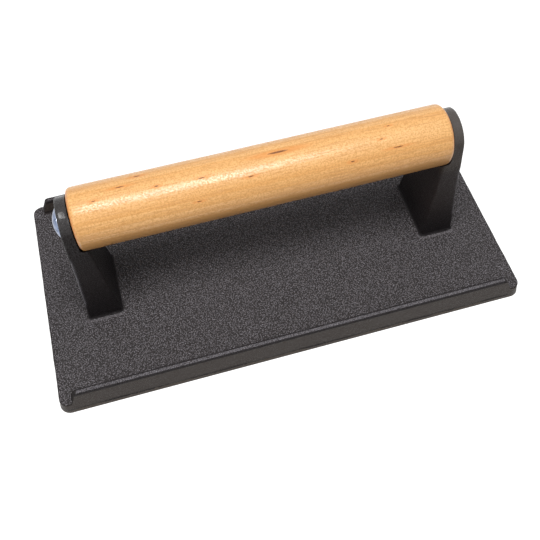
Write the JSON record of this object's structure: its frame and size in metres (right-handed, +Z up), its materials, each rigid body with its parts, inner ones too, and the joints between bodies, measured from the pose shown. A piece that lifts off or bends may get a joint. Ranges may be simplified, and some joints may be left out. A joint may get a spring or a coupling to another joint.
{
  "type": "steak press",
  "caption": "Rectangular cast iron steak press with a low rib along each long edge and a round wooden handle that turns on a bolt between two cast uprights.",
  "frame": {"origin": "middle of the plate's flat underside", "axes": "+X along the handle and the plate's long side, towards the sleeve nut; +Y towards the back long edge; +Z up, away from the cooking face"},
  "size_m": [0.21, 0.108, 0.0717],
  "materials": {
    "iron": "sand cast, seasoned black, fine pebbled grain, satin",
    "wood": "turned light hardwood, clear lacquer",
    "plated_steel": "bright zinc plating"
  },
  "bodies": {
    "press": {"cast_base": "iron", "handle_bolt": "plated_steel", "sleeve_nut": "plated_steel"},
    "handle": {"wood_handle": "wood"}
  },
  "joints": [
    {"name": "handle_turn", "type": "hinge", "parent": "press", "child": "handle", "pos_m": [0, 0, 0.0587], "axis": [1, 0, 0], "continuous": true}
  ]
}
